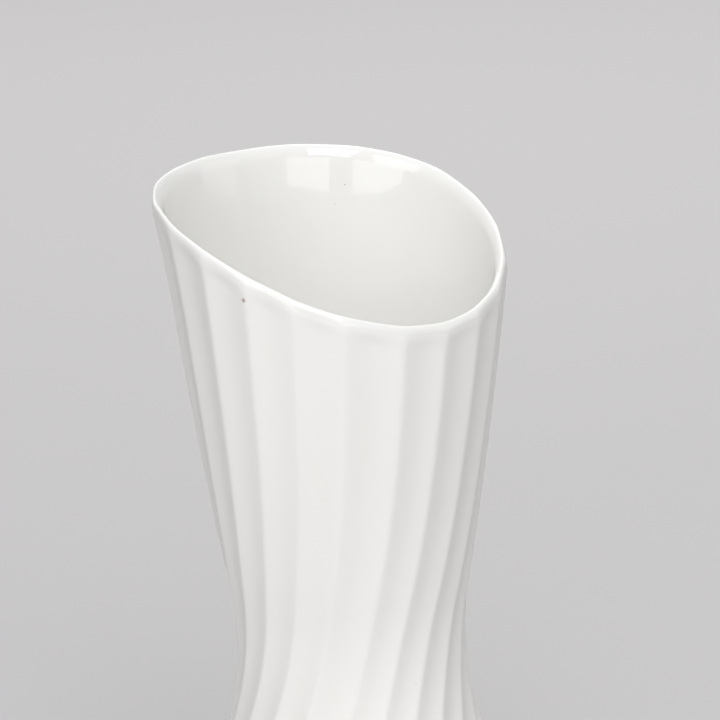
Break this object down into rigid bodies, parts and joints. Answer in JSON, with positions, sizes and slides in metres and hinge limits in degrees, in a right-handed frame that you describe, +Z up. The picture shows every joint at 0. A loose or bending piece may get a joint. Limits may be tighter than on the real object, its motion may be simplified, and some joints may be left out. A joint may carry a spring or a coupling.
{
  "type": "trumpet vase",
  "caption": "White glazed porcelain vase with a round belly, a narrow waist and a trumpet mouth cut on a slant, its wall carved with shallow twisted flutes.",
  "frame": {"origin": "centre of the foot ring, on the surface that the vase stands on", "axes": "+Z up along the vase's axis; the mouth is lowest towards +X and highest towards -X"},
  "size_m": [0.0898, 0.0896, 0.2081],
  "materials": {
    "glazed_porcelain": "clear glaze over white clay, satin outside and glossy inside",
    "lip_glaze": "thick glossy clear glaze",
    "slip": "matt fired slip",
    "bare_porcelain": "matt bare clay"
  },
  "bodies": {
    "root": {"body_wall": "glazed_porcelain", "lip_glaze": "lip_glaze", "floor_disc": "glazed_porcelain", "slip_joint": "slip", "foot_ring": "bare_porcelain"}
  },
  "joints": []
}
